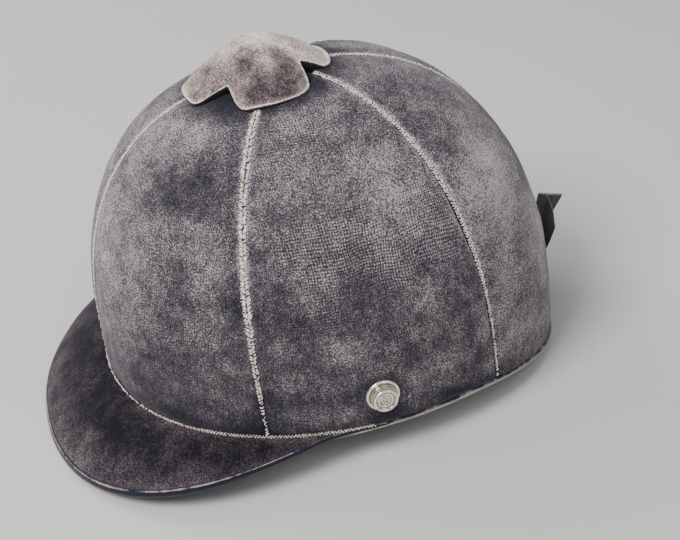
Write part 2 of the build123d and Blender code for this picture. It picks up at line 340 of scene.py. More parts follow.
def mirrored(obj, name):
    """The same piece on the other side of the helmet."""
    twin = add_object(name, obj.data.copy())
    twin.data.name = name
    twin.data.transform(Matrix.Scale(-1.0, 4, Vector((1.0, 0.0, 0.0))))
    twin.data.flip_normals()
    return twin


# ---- Materials ----


class Paint:
    """One node material with a Principled shader."""

    def __init__(
        self,
        name,
        roughness=0.8,
        metallic=0.0,
        sheen=0.0,
        sheen_tint=(1.0, 1.0, 1.0),
        sheen_rough=0.4,
        specular=0.3,
    ):
        self.material = bpy.data.materials.new(name)
        self.material.use_nodes = True
        self.tree = self.material.node_tree
        self.shader = self.tree.nodes["Principled BSDF"]
        settings = {
            "Roughness": roughness,
            "Metallic": metallic,
            "Specular IOR Level": specular,
            "Sheen Weight": sheen,
            "Sheen Tint": (*sheen_tint, 1.0),
            "Sheen Roughness": sheen_rough,
        }
        for socket, value in settings.items():
            self.shader.inputs[socket].default_value = value

    def node(self, kind, **settings):
        made = self.tree.nodes.new(kind)
        for key, value in settings.items():
            setattr(made, key, value)
        return made

    def link(self, source, target):
        self.tree.links.new(source, target)

    def feed(self, socket, value):
        if isinstance(value, bpy.types.NodeSocket):
            self.link(value, socket)
        else:
            socket.default_value = value

    def where(self):
        return self.node("ShaderNodeTexCoord").outputs["Object"]

    def cloth(self):
        return self.node("ShaderNodeUVMap", uv_map="cloth").outputs["UV"]

    def painted(self, name):
        return self.node("ShaderNodeAttribute", attribute_name=name).outputs["Fac"]

    def grain(self, scale, detail=2.0, rough=0.5, vector=None):
        made = self.node("ShaderNodeTexNoise")
        self.feed(made.inputs["Vector"], vector or self.where())
        made.inputs["Scale"].default_value = scale
        made.inputs["Detail"].default_value = detail
        made.inputs["Roughness"].default_value = rough
        return made.outputs["Fac"]

    def stretch(self, vector, factors):
        made = self.node("ShaderNodeVectorMath", operation="MULTIPLY")
        self.feed(made.inputs[0], vector)
        made.inputs[1].default_value = factors
        return made.outputs["Vector"]

    def cells(self, scale, width):
        """0 on the borders of small cells, 1 inside them."""
        made = self.node("ShaderNodeTexVoronoi", feature="DISTANCE_TO_EDGE")
        self.feed(made.inputs["Vector"], self.where())
        made.inputs["Scale"].default_value = scale
        return self.spread(made.outputs["Distance"], 0.0, width)

    def sums(self, operation, a, b=0.0, c=None):
        made = self.node("ShaderNodeMath", operation=operation)
        self.feed(made.inputs[0], a)
        self.feed(made.inputs[1], b)
        if c is not None:
            self.feed(made.inputs[2], c)
        return made.outputs["Value"]

    def times(self, a, b):
        return self.sums("MULTIPLY", a, b)

    def centred(self, value, factor):
        """A 0 to 1 value moved to lie about zero and scaled."""
        return self.times(self.sums("SUBTRACT", value, 0.5), factor)

    def total(self, *values):
        result = values[0]
        for value in values[1:]:
            result = self.sums("ADD", result, value)
        return result

    def spread(self, value, low, high):
        """0 below low, 1 above high, smooth between."""
        made = self.node("ShaderNodeMapRange", interpolation_type="SMOOTHSTEP")
        self.feed(made.inputs["Value"], value)
        made.inputs["From Min"].default_value = low
        made.inputs["From Max"].default_value = high
        return made.outputs["Result"]

    def blend(self, factor, a, b):
        made = self.node("ShaderNodeMix", data_type="RGBA")
        self.feed(made.inputs["Factor"], factor)
        for name, value in (("A", a), ("B", b)):
            socket = next(s for s in made.inputs if s.name == name and s.type == "RGBA")
            self.feed(socket, (*value, 1.0) if isinstance(value, tuple) else value)
        return next(s for s in made.outputs if s.type == "RGBA")

    def threads(self, pitch, vector):
        """Two crossed sets of threads as a height from 0 to 1."""
        split = self.node("ShaderNodeSeparateXYZ")
        self.feed(split.inputs[0], vector)
        waves = []
        for axis in ("X", "Y"):
            turns = self.times(split.outputs[axis], math.tau / pitch)
            waves.append(self.sums("SINE", turns))
        both = self.sums("ADD", waves[0], waves[1])
        return self.sums("ADD", self.times(both, 0.25), 0.5)

    def colour(self, value):
        self.feed(self.shader.inputs["Base Color"], value)

    def bump(self, height, distance, strength=1.0):
        made = self.node("ShaderNodeBump")
        made.inputs["Distance"].default_value = distance
        made.inputs["Strength"].default_value = strength
        self.feed(made.inputs["Height"], height)
        self.link(made.outputs["Normal"], self.shader.inputs["Normal"])


def velvet_material(name, tones, patch_size, weave, contrast, sheen, salt):
    """Old velvet: dark standing nap, crushed patches and bare light threads.

    tones are the colours of nap, worn pile and bare cloth, patch_size is in
    millimetres, and salt is the strength of the finest specks.
    """
    nap, worn, bare = tones
    paint = Paint(
        name,
        roughness=0.92,
        sheen=sheen,
        sheen_tint=(0.90, 0.87, 0.95),
        sheen_rough=0.32,
        specular=0.08,
    )
    patches = paint.centred(paint.grain(1000.0 / patch_size, 5.0, 0.62), 0.95 * contrast)
    smudges = paint.centred(paint.grain(3400.0 / patch_size, 4.0, 0.65), 0.80 * contrast)
    streaks = paint.stretch(paint.where(), (1.0, 1.0, 0.35))
    brushed = paint.centred(paint.grain(520.0, 3.0, 0.65, streaks), 0.40 * contrast)
    # The painted value is rubbing, and on the dome and the button it also carries painted light and painted
    # shade.
    wear = paint.total(paint.painted("worn"), patches, smudges, brushed)
    speck = paint.centred(paint.grain(1600.0, 1.0, 0.8), salt)
    drift = paint.node("ShaderNodeTexNoise")
    paint.feed(drift.inputs["Vector"], paint.where())
    drift.inputs["Scale"].default_value = 35.0
    wobble = paint.node("ShaderNodeVectorMath", operation="MULTIPLY_ADD")
    paint.feed(wobble.inputs[0], drift.outputs["Color"])
    wobble.inputs[1].default_value = (0.007, 0.007, 0.0)
    paint.feed(wobble.inputs[2], paint.cloth())
    threads = paint.centred(paint.threads(0.00115, wobble.outputs["Vector"]), 0.70 * weave)
    shown = paint.spread(paint.grain(24.0, 3.0, 0.55), 0.36, 0.62)
    threads = paint.times(threads, paint.times(shown, paint.painted("woven")))
    texture = paint.total(speck, threads)
    strength = paint.sums("ADD", paint.times(paint.spread(wear, 0.0, 0.8), 0.5), 0.5)
    level = paint.total(wear, paint.times(texture, strength))
    dark = paint.blend(paint.spread(level, 0.0, 0.55), nap, worn)
    paint.colour(paint.blend(paint.spread(level, 0.38, 1.4), dark, bare))
    paint.bump(paint.total(level, threads), 0.0004, 0.55)
    return paint.material


# Nap, worn pile and bare cloth of each piece of velvet
DOME_TONES = ((0.019, 0.020, 0.029), (0.094, 0.080, 0.091), (0.60, 0.54, 0.55))
PEAK_TONES = ((0.010, 0.009, 0.012), (0.064, 0.053, 0.062), (0.32, 0.265, 0.27))
BUTTON_TONES = ((0.028, 0.026, 0.038), (0.205, 0.155, 0.150), (1.0, 0.86, 0.74))

dome_velvet = velvet_material("dome_velvet", DOME_TONES, 36.0, 1.1, 1.06, 0.22, 2.7)
peak_velvet = velvet_material("peak_velvet", PEAK_TONES, 26.0, 0.2, 1.0, 0.22, 2.6)
button_velvet = velvet_material("button_velvet", BUTTON_TONES, 12.0, 0.1, 0.75, 0.2, 2.1)


def worn_edge_material(name, dark, pale, amount):
    """Folded velvet edge, rubbed pale along its crest."""
    paint = Paint(name, roughness=0.85, sheen=0.4, sheen_rough=0.4, specular=0.15)
    fine = paint.grain(1300.0, 2.0, 0.7)
    level = paint.sums("MULTIPLY_ADD", paint.grain(260.0, 4.0, 0.7), 0.9, paint.painted("worn"))
    stretches = paint.centred(paint.grain(70.0, 2.0, 0.6), 0.6)
    mask = paint.spread(paint.sums("ADD", level, stretches), 1.05 - amount, 1.45 - amount)
    pale_mix = paint.blend(fine, pale, tuple(0.6 * c for c in pale))
    paint.colour(paint.blend(mask, dark, pale_mix))
    paint.bump(fine, 0.0004, 0.6)
    return paint.material


rim_edge = worn_edge_material("rim_edge", (0.016, 0.017, 0.028), (0.42, 0.38, 0.37), 0.35)
peak_edge = worn_edge_material("peak_edge", (0.012, 0.013, 0.026), (0.46, 0.35, 0.33), 0.13)


def thread_material():
    """Pale tufts of the rubbed-through seams."""
    paint = Paint("seam_thread", roughness=0.85, sheen=0.7, specular=0.15)
    tone = paint.grain(700.0, 2.0, 0.6)
    rosy = paint.grain(60.0, 2.0, 0.5)
    pale = paint.blend(paint.spread(rosy, 0.4, 0.65), (1.0, 0.89, 0.84), (0.88, 0.72, 0.70))
    paint.colour(paint.blend(paint.spread(tone, 0.35, 0.75), pale, (0.62, 0.52, 0.50)))
    paint.bump(tone, 0.0003, 0.6)
    return paint.material


def plain_cloth(name, dark, light, pitch, roughness=0.85, sheen=0.2):
    """Close woven cloth seen on the underside and inside."""
    paint = Paint(name, roughness=roughness, sheen=sheen, specular=0.2)
    weave = paint.threads(pitch, paint.where())
    patches = paint.grain(90.0, 3.0, 0.6)
    fine = paint.grain(900.0, 2.0, 0.6)
    level = paint.sums("MULTIPLY_ADD", patches, 0.6, paint.times(fine, 0.5))
    paint.colour(paint.blend(paint.spread(level, 0.3, 0.8), dark, light))
    paint.bump(weave, 0.0002, 0.5)
    return paint.material


def two_tone(paint, scale, detail, rough, low, high, dark, light):
    """Colour that drifts between two tones in patches."""
    patches = paint.spread(paint.grain(scale, detail, rough), low, high)
    paint.colour(paint.blend(patches, dark, light))


def ribbon_material():
    """Black grosgrain with fine cross ribs."""
    paint = Paint("ribbon_grosgrain", roughness=0.55, sheen=0.25, specular=0.3)
    split = paint.node("ShaderNodeSeparateXYZ")
    paint.feed(split.inputs[0], paint.cloth())
    ribs = paint.sums("SINE", paint.times(split.outputs["Y"], math.tau / 0.0009))
    two_tone(paint, 160.0, 3.0, 0.6, 0.35, 0.75, (0.011, 0.012, 0.022), (0.034, 0.034, 0.05))
    paint.bump(ribs, 0.00018, 0.8)
    return paint.material


def metal_material(name, colour, dull_and_shaded, roughness):
    """Plated metal with fine turning marks, a little tarnish, and painted shade in the recesses of the press
    studs.
    """
    paint = Paint(name, roughness=roughness, metallic=0.85, specular=0.5)
    tarnish_and_shade = paint.grain(420.0, 4.0, 0.65)
    # Random tarnish, plus the painted shade that the studs carry in their recesses.
    stain_and_shade = paint.total(paint.spread(tarnish_and_shade, 0.5, 0.8), paint.painted("tarnish_and_shade"))
    paint.colour(paint.blend(paint.spread(stain_and_shade, 0.0, 1.1), colour, dull_and_shaded))
    paint.feed(paint.shader.inputs["Roughness"], paint.sums("MULTIPLY_ADD", tarnish_and_shade, 0.25, roughness - 0.1))
    paint.bump(paint.grain(1500.0, 2.0, 0.5), 0.00005, 0.4)
    return paint.material


def leather_material():
    """Soft dark leather with a fine creased grain."""
    paint = Paint("band_leather", roughness=0.5, specular=0.4)
    two_tone(paint, 60.0, 4.0, 0.6, 0.35, 0.7, (0.022, 0.014, 0.011), (0.06, 0.038, 0.028))
    paint.bump(paint.cells(900.0, 0.25), 0.00025, 0.8)
    return paint.material


def foam_material():
    """Pale beaded foam, lightly yellowed."""
    paint = Paint("beaded_foam", roughness=0.85, specular=0.2)
    edges = paint.cells(330.0, 0.12)
    patches = paint.grain(40.0, 3.0, 0.5)
    pale = paint.blend(paint.spread(patches, 0.4, 0.7), (0.72, 0.70, 0.65), (0.62, 0.58, 0.49))
    paint.colour(paint.blend(edges, (0.42, 0.40, 0.35), pale))
    paint.bump(edges, 0.0003, 0.7)
    return paint.material


def shell_material():
    """Moulded dark plastic with a light orange-peel surface."""
    paint = Paint("moulded_shell", roughness=0.5, specular=0.4)
    two_tone(paint, 120.0, 5.0, 0.7, 0.5, 0.75, (0.012, 0.012, 0.015), (0.04, 0.04, 0.045))
    paint.bump(paint.grain(500.0, 3.0, 0.5), 0.0002, 0.4)
    return paint.material


seam_thread = thread_material()
under_cloth = plain_cloth("under_cloth", (0.010, 0.012, 0.030), (0.028, 0.03, 0.055), 0.0007)
lining_cloth = plain_cloth("lining_cloth", (0.012, 0.012, 0.017), (0.035, 0.035, 0.045), 0.0009, 0.6)
ribbon_cloth = ribbon_material()
stud_metal = metal_material("stud_metal", (1.0, 0.98, 0.94), (0.42, 0.36, 0.26), 0.22)
brass_metal = metal_material("brass_metal", (0.75, 0.58, 0.30), (0.35, 0.25, 0.12), 0.35)
band_leather = leather_material()
foam = foam_material()
shell_plastic = shell_material()

# ---- Velvet panels ----

PANEL_COLUMNS = 56
PANEL_ROWS = 96
PANEL_RUN = 140.0
SEAM_TUCK = 1.6
SEAM_TUCK_WIDTH = 1.5
SEAM_DIP = 0.5
SEAM_DIP_WIDTH = 5.0
FOOT_TUCK_WIDTH = 1.5
ARC_RUN = 150.0


def height_at(angle, share):
    """Height on the panel at a share of the way from its foot to the crown."""
    base = dome_point(angle, 0.0)
    foot = panel_foot(base.y)
    if foot > 0.0:
        first = math.asin(foot / CROWN_HEIGHT)
        last = math.asin(TOP_FRACTION)
        return CROWN_HEIGHT * math.sin(mixed(first, last, share))
    wall = -foot
    run = share * (wall + ARC_RUN)
    if run < wall:
        return foot + run
    return CROWN_HEIGHT * math.sin((run - wall) / ARC_RUN * math.asin(TOP_FRACTION))


def seam_distance(angle, z, start, end):
    """Distance in millimetres to the nearer seam of the panel."""
    p = dome_point(angle, z)
    radius = math.hypot(p.x, p.y)
    near = min(abs(angle - start), abs(end - angle))
    return radius * math.radians(near)


# Round patches that are more or less rubbed, the same on both sides:
# strength, centre and size; the light one high on the back is partly painted sheen
WEAR_AND_SHEEN_PATCHES = (
    (-0.30, (52.0, -62.0, 112.0), 18.0),
    (-0.08, (70.0, -86.0, 36.0), 20.0),
    # Partly rubbing, partly painted sheen where light grazes the upper back.
    (0.42, (64.0, 78.0, 84.0), 25.0),
    (-0.12, (30.0, 45.0, 125.0), 26.0),
    (0.38, (42.0, 108.0, 48.0), 30.0),
    (0.14, (80.0, 14.0, 96.0), 26.0),
    (-0.13, (94.0, -4.0, 72.0), 22.0),
)
BROW_PATCH = (35.0, -100.0, 78.0)
BROW_PATCH_SIZE = 28.0


def hump(distance, size):
    """1 at no distance, fading to 0 over the size."""
    return math.exp(-((distance / size) ** 2))


def dome_wear_and_light(point, seam_gap, angle):
    """How light the velvet is painted, from 0 for dark nap to 1 for bare cloth: rubbing, with painted light
    and painted shade mixed in.
    """
    x, y, z = point
    side = abs(x)
    spot = Vector((side, y, z))
    front = smooth((-y - 20.0) / 50.0)
    back = smooth((y - 30.0) / 50.0)
    # Lighter toward the crown and darker low down: partly rubbing, partly painted light falling from above.
    wear = 0.47 + 0.08 * smooth((z - 55.0) / 65.0) - 0.05 * (1.0 - smooth(z / 34.0))
    # Lighter band high on the front: partly rubbing, partly painted sheen.
    wear += front * 0.12 * smooth((z - 22.0) / 50.0) * smooth((78.0 - side) / 70.0)
    wear -= front * 0.13 * (1.0 - smooth((z - 4.0) / 34.0))
    wear -= front * 0.20 * hump(seam_gap, 9.0) * smooth((side - 30.0) / 30.0)
    wear += front * 0.16 * hump((spot - Vector(BROW_PATCH)).length, BROW_PATCH_SIZE)
    wear += back * 0.11 * (1.0 - smooth((z - 10.0) / 45.0))
    wear += 0.70 * hump(seam_gap, 2.0) * smooth((z - 20.0) / 60.0)
    for strength, centre, size in WEAR_AND_SHEEN_PATCHES:
        wear += strength * hump((spot - Vector(centre)).length, size)
    foot = panel_foot(dome_point(angle, 0.0).y)
    wear -= 0.22 * (1.0 - smooth((z - foot) / 11.0))
    # Darker ring round each stud.
    stud = math.hypot(y - STUD_Y, z - STUD_Z)
    wear -= 0.20 * (1.0 - smooth((stud - 8.0) / 9.0)) * (side > 60.0)
    # Darker ring round the crown button: unrubbed nap, and painted shade in the notches under its lobes.
    button = math.hypot(x, y - BUTTON_Y)
    wear -= 0.55 * (1.0 - smooth((button - 27.0) / 20.0))
    return min(max(wear, -0.1), 1.0)


def velvet_panel(name, start, end):
    """One panel between two plan angles, tucked in at its seams and its foot."""
    outer = []
    inner = []
    coordinates = []
    wear = []
    woven = []
    middle = 0.5 * (start + end)
    on_side = abs(abs(middle - 180.0) - 90.0) < 20.0
    for j in range(PANEL_ROWS):
        share = j / (PANEL_ROWS - 1)
        for i in range(PANEL_COLUMNS):
            across = i / (PANEL_COLUMNS - 1)
            eased = 0.5 - 0.5 * math.cos(math.pi * across)
            packed = mixed(across, eased, 0.7)
            angle = mixed(start, end, packed)
            z = height_at(angle, share)
            gap = seam_distance(angle, z, start, end)
            flat = dome_point(angle, z)
            out = 0.5 + 0.45 * rumple(flat, 26.0, 1.0) + 0.18 * rumple(flat, 7.0, 5.0)
            out -= SEAM_TUCK * hump(gap, SEAM_TUCK_WIDTH) + SEAM_DIP * hump(gap, SEAM_DIP_WIDTH)
            out -= hump(share * PANEL_RUN, FOOT_TUCK_WIDTH)
            outer.append(tuple(dome_point(angle, z, out)))
            inner.append(tuple(dome_point(angle, z, -VELVET)))
            radius = math.hypot(flat.x, flat.y)
            coordinates.append((radius * math.radians(angle - middle) * MM, share * ARC_RUN * MM))
            # Rubbing, with painted light toward the crown and painted shade round the button.
            wear.append(dome_wear_and_light(flat, gap, angle))
            height_share = smooth((z - 14.0) / 45.0) * smooth((150.0 - z) / 40.0)
            woven.append(mixed(0.25, 1.0, height_share) if on_side else 0.35)
    obj = thick_sheet(name, outer, inner, PANEL_ROWS, PANEL_COLUMNS, dome_velvet)
    set_uv(obj, coordinates + coordinates)
    set_paint(obj, "worn", wear + wear)
    set_paint(obj, "woven", woven + woven)
    attach(obj, "velvet", name)


for panel, first_seam, second_seam in zip(PANEL_NAMES, SEAMS, SEAMS[1:] + (360.0,)):
    velvet_panel(panel, first_seam, second_seam)

# ---- Tufted seams ----

TUFT_STEP = 1.25


def tuft(points, faces, centre, along, side, up, size):
    """Small rounded knot of thread."""
    first = len(points)
    long, wide, tall = size
    for shift, scale in ((-0.75, 0.6), (0.0, 1.0), (0.75, 0.6)):
        for k in range(6):
            turn = math.tau * k / 6
            p = centre + along * (long * shift)
            p = p + side * (wide * scale * math.cos(turn)) + up * (tall * scale * math.sin(turn))
            points.append(tuple(p))
    for j in range(2):
        for k in range(6):
            a = first + j * 6 + k
            b = first + j * 6 + (k + 1) % 6
            faces.append((a, b, b + 6, a + 6))
    points.append(tuple(centre - along * (long * 1.15)))
    points.append(tuple(centre + along * (long * 1.15)))
    for k in range(6):
        faces.append((first + 18, first + (k + 1) % 6, first + k))
        faces.append((first + 19, first + 12 + k, first + 12 + (k + 1) % 6))


def spaced(dense, gap):
    """Points of a dense path that lie at least gap millimetres apart."""
    path = [dense[0]]
    for p in dense:
        if (p - path[-1]).length >= gap:
            path.append(p)
    return path


def tuft_row(name, path, facing, half_width, keep, raggedness, seed):
    """Double row of rubbed tufts along a path.

    facing, half_width and keep give the local normal, width and share of tufts.
    """
    shuffle = random.Random(seed)
    points = []
    faces = []
    for i in range(1, len(path) - 1):
        here = path[i]
        along = (path[i + 1] - path[i - 1]).normalized()
        up = facing(here)
        side = along.cross(up).normalized()
        clump = 1.0 + raggedness * (0.4 * rumple(here, 5.0, seed) + 0.3 * rumple(here, 1.9, seed + 3))
        width = half_width(here) * clump
        for hand in (-1.0, 1.0):
            if shuffle.random() > keep(here):
                continue
            offset = side * (hand * width * shuffle.uniform(0.38, 0.60))
            offset = offset + along * (hand * 0.35 + shuffle.uniform(-0.45, 0.45) * raggedness)
            turned = side * hand * shuffle.uniform(0.4, 1.1) * mixed(0.4, 1.0, raggedness)
            lean = (along * shuffle.uniform(0.45, 1.0) + turned).normalized()
            cross = lean.cross(up).normalized()
            long = (0.42 + 0.32 * width) * shuffle.uniform(0.7, 1.25)
            wide = (0.13 + 0.24 * width) * shuffle.uniform(0.7, 1.25)
            lift = up * shuffle.uniform(-0.35, 0.05 + 0.15 * raggedness)
            tuft(points, faces, here + offset + lift, lean, cross, up, (long, wide, 0.55))
        if raggedness > 0.5 and width > 0.9:
            for hand in (-1.0, 1.0):
                reach = width * shuffle.uniform(0.8, 1.15)
                spot = here + side * (hand * reach) + along * shuffle.uniform(-0.5, 0.5)
                lean = (side * hand + along * shuffle.uniform(-0.6, 0.6)).normalized()
                tuft(points, faces, spot, lean, lean.cross(up).normalized(), up, (0.42, 0.17, 0.25))
    attach(make_object(name, points, faces, seam_thread), "velvet")


def dome_facing(p):
    """Direction out of the dome at a point near its surface."""
    rise = max(p.z, 0.0) / CROWN_HEIGHT ** 2
    return Vector((p.x / HALF_WIDTH ** 2, p.y / REAR_REACH ** 2, rise)).normalized()


def tufted_seam(angle, seed, name, low, full, raggedness):
    """Seam between two panels, widest where it is most rubbed."""
    dense = [dome_point(angle, height_at(angle, i / 400.0), 0.0) for i in range(401)]
    dense = [p for p in dense if math.hypot(p.x, p.y - BUTTON_Y) > BUTTON_RADIUS - 9.0]

    def half_width(p):
        return mixed(low, full, smooth((p.z - 2.0) / 80.0))

    def keep(p):
        return mixed(0.85, 1.0, smooth((p.z - 4.0) / 34.0))

    tuft_row(name, spaced(dense, TUFT_STEP), dome_facing, half_width, keep, raggedness, seed)


# Each seam's name, half widths at its foot and on the crown, and raggedness
SEAM_LOOKS = (
    ("seam_front", 0.45, 0.95, 0.8),
    ("seam_front_left", 0.62, 1.9, 1.05),
    ("seam_rear_left", 0.5, 1.2, 0.7),
    ("seam_rear", 0.45, 0.95, 0.7),
    ("seam_rear_right", 0.5, 1.2, 0.7),
    ("seam_front_right", 0.62, 1.9, 1.05),
)
for seed, (seam_angle, look) in enumerate(zip(SEAMS, SEAM_LOOKS), start=11):
    tufted_seam(seam_angle, seed, *look)


def junction_seam():
    """Chain of pale stitches in the fold between dome and peak."""
    dense = []
    for i in range(1201):
        angle = mixed(-89.0, 89.0, i / 1200.0)
        base = dome_point(angle, 0.0)
        p = base + outward(angle) * 0.75
        p.z = junction_level(base.y) + 0.55
        dense.append(p)

    def facing(p):
        flat = Vector((p.x / HALF_WIDTH ** 2, p.y / FRONT_REACH ** 2, 0.0)).normalized()
        return (flat + Vector((0.0, 0.0, 0.9))).normalized()

    def half_width(p):
        return mixed(0.34, 0.66, smooth((abs(p.x) - 45.0) / 45.0))

    def keep(p):
        return mixed(0.8, 1.0, smooth((abs(p.x) - 40.0) / 40.0))

    tuft_row("seam_peak", spaced(dense, TUFT_STEP), facing, half_width, keep, 0.45, 31)


junction_seam()

# ---- Peak ----

PEAK_COLUMNS = 160
PEAK_ROWS = 22
EDGE_STEPS = 14
PEAK_CLOTH = 0.5
UP = Vector((0.0, 0.0, 1.0))


def peak_wear(angle, reach):
    """How rubbed the peak's velvet is, most toward its edge."""
    width = max(peak_reach(angle), 1.0)
    share = reach / width
    wear = 0.10 + 0.33 * smooth((share - 0.40) / 0.5) * smooth((95.0 - abs(angle)) / 60.0)
    wear += 0.13 * smooth((share - 0.85) / 0.15)
    wear += 0.30 * hump(reach, 6.0) * smooth((abs(angle) - 10.0) / 30.0)
    return min(max(wear, 0.0), 1.0)


def peak_section(angle):
    """Half loop from under the dome over the top, round the edge and back below.

    Each point has a mark: its reach from the dome, or its share of the edge's turn.
    """
    width = max(peak_reach(angle), 0.4)
    thick = peak_thickness(angle)
    round_radius = 0.5 * thick
    inner = -2.5
    flat_end = max(width - round_radius, inner + 0.6)
    radius = width - flat_end
    loop = []
    marks = []
    for j in range(PEAK_ROWS):
        reach = mixed(inner, flat_end, j / (PEAK_ROWS - 1))
        loop.append(peak_top(angle, reach))
        marks.append(reach)
    rim = peak_top(angle, flat_end)
    slope = (rim - peak_top(angle, flat_end - 1.0)).normalized()
    for j in range(1, EDGE_STEPS + 1):
        turn = math.pi * j / EDGE_STEPS
        loop.append(rim + slope * (radius * math.sin(turn)) - UP * (0.5 * thick * (1.0 - math.cos(turn))))
        marks.append(turn / math.pi)
    for j in range(1, PEAK_ROWS):
        reach = mixed(flat_end, inner, j / (PEAK_ROWS - 1))
        loop.append(peak_top(angle, reach) - UP * thick)
        marks.append(reach)
    return loop, marks


peak_sections = []
for index in range(PEAK_COLUMNS + 1):
    peak_angle = PEAK_END_ANGLE * (2.0 * index / PEAK_COLUMNS - 1.0)
    peak_sections.append((peak_angle, *peak_section(peak_angle)))


def peak_sheet(name, first, last, material, node, slot, mark):
    """Top, edge or underside of the peak; the three share their borders."""
    outer = []
    inner = []
    wear = []
    uv = []
    for angle, loop, marks in peak_sections:
        centre = 0.5 * (loop[PEAK_ROWS - 1] + loop[PEAK_ROWS - 1 + EDGE_STEPS])
        for j in range(first, last):
            p = loop[j]
            mark_along = marks[j]
            lift = 0.0
            toward = UP
            if mark == "top":
                lift = 0.22 * rumple(p, 14.0, 3.0) + 0.1 * rumple(p, 4.0, 8.0)
                lift -= 0.5 * hump(mark_along, 1.6)
                toward = -UP
            if mark == "edge":
                toward = centre - p
                toward = toward.normalized() if toward.length > 1e-6 else UP
                ragged = 0.22 * rumple(p, 3.0, 21.0) + 0.15 * rumple(p, 11.0, 22.0)
                wear.append(0.02 + (0.78 + ragged) * hump(mark_along - 0.17, 0.10))
            else:
                wear.append(peak_wear(angle, mark_along))
            outer.append((p.x, p.y, p.z + lift))
            inner.append(tuple(p + toward * PEAK_CLOTH))
            uv.append((math.radians(angle) * 120.0 * MM, mark_along * MM))
    obj = thick_sheet(name, outer, inner, len(peak_sections), last - first, material)
    set_uv(obj, uv + uv)
    set_paint(obj, "worn", wear + wear)
    attach(obj, slot, node)


TOP_END = PEAK_ROWS
EDGE_END = PEAK_ROWS + EDGE_STEPS
LINING_END = EDGE_END + PEAK_ROWS - 1
for sheet_look in (
    ("peak_top", 0, TOP_END, peak_velvet, "peak_top_velvet", "velvet", "top"),
    ("peak_edge", TOP_END - 1, EDGE_END, peak_edge, "peak_edge_binding", "binding", "edge"),
    ("peak_lining", EDGE_END - 1, LINING_END, under_cloth, "peak_under_cloth", "under_cloth", "under"),
):
    peak_sheet(*sheet_look)

# ---- Crown button ----

BUTTON_TURNS = 192
BUTTON_RINGS = 30
BUTTON_EDGE = 7
EDGE_BEND = 140.0
BEAD = 1.0
FOOT_INSET = 2.2
LOBE_POWER = 9.0


def lobe_reach(turn):
    """Plan radius of the button at a plan angle from the front, in radians."""
    total = (BUTTON_RADIUS - 1.2 * smooth(-math.cos(turn))) ** -LOBE_POWER
    for middle, half_angle in NOTCHES:
        off = (turn - math.radians(middle) + math.pi) % math.tau - math.pi
        off = math.sqrt(off * off + 0.045 ** 2)
        half = math.radians(half_angle)
        if off < half - 0.03:
            total += (NOTCH_RADIUS * math.sin(half) / math.sin(half - off)) ** -LOBE_POWER
    return total ** (-1.0 / LOBE_POWER)


def button_surface(x, y):
    """Top of the cushion over a plan point, measured from the button's centre."""
    r = math.hypot(x, y)
    cap = BUTTON_TOP - BUTTON_BALL + math.sqrt(max(BUTTON_BALL ** 2 - r * r, 0.0))
    cap += 1.9 * hump(r, 14.0)
    if r > 0.0:
        diagonal = (2.0 * x * y / (r * r)) ** 2
        ahead = smooth(0.5 - y / r)
        sag = mixed(2.2, 6.0, ahead) * diagonal ** 2 * smooth((r - 9.0) / 16.0)
        shoulder = 1.8 * ahead * hump(r - 21.0, 7.0)
        cap -= sag + shoulder * (1.0 - diagonal)
    return cap


def button_wear(x, y):
    """Bare and pale on the crown, darker in patches toward the left lobe."""
    shade = 0.90 + 0.22 * rumple((x, y, 5.0), 15.0, 4.0) + 0.20 * rumple((x, y, 2.0), 5.0, 7.0)
    shade -= 0.58 * smooth((x - 3.0) / 18.0) * smooth((27.0 - abs(y)) / 20.0)
    shade -= 0.10 * hump(x - 13.0, 8.0) * hump(y + 7.0, 6.0)
    shade -= 0.16 * hump(x - 32.0, 6.0) * hump(y + 2.0, 14.0)
    shade += 0.26 * hump(x - 20.0, 9.0) * hump(y - 3.0, 4.0)
    shade -= 0.30 * smooth((-y - 12.0) / 12.0)
    shade += 0.22 * smooth((-x - 2.0) / 16.0)
    return min(max(shade, 0.22), 1.15)


def lobe_turns(inset):
    """Plan angle and reach all round the button, inset from its outline."""
    for i in range(BUTTON_TURNS):
        turn = math.tau * i / BUTTON_TURNS
        yield turn, lobe_reach(turn) - inset


def around_button(turn, reach):
    return reach * math.sin(turn), -reach * math.cos(turn)


def top_ring(share):
    """Points and wear of one ring of the cushion's top."""
    ring = []
    wear = []
    for turn, full in lobe_turns(BEAD):
        x, y = around_button(turn, full * share)
        z = button_surface(x, y) + 0.5 * rumple((x, y, 0.0), 12.0, 2.0) + 0.2 * rumple((x, y, 0.0), 4.0, 6.0)
        ring.append((x, y + BUTTON_Y, max(z, dome_level(x, y + BUTTON_Y) + 1.5)))
        wear.append(button_wear(x, y) + 0.2 * smooth((share - 0.97) / 0.03))
    return ring, wear


def edge_ring(bend):
    """Points of one ring of the rounded edge, bent from flat by an angle."""
    ring = []
    for turn, full in lobe_turns(BEAD):
        x, y = around_button(turn, full)
        top = max(button_surface(x, y), dome_level(x, y + BUTTON_Y) + 1.5)
        x, y = around_button(turn, full + BEAD * math.sin(bend))
        floor = dome_level(x, y + BUTTON_Y) - 0.3
        ring.append((x, y + BUTTON_Y, max(top - BEAD * (1.0 - math.cos(bend)), floor)))
    return ring


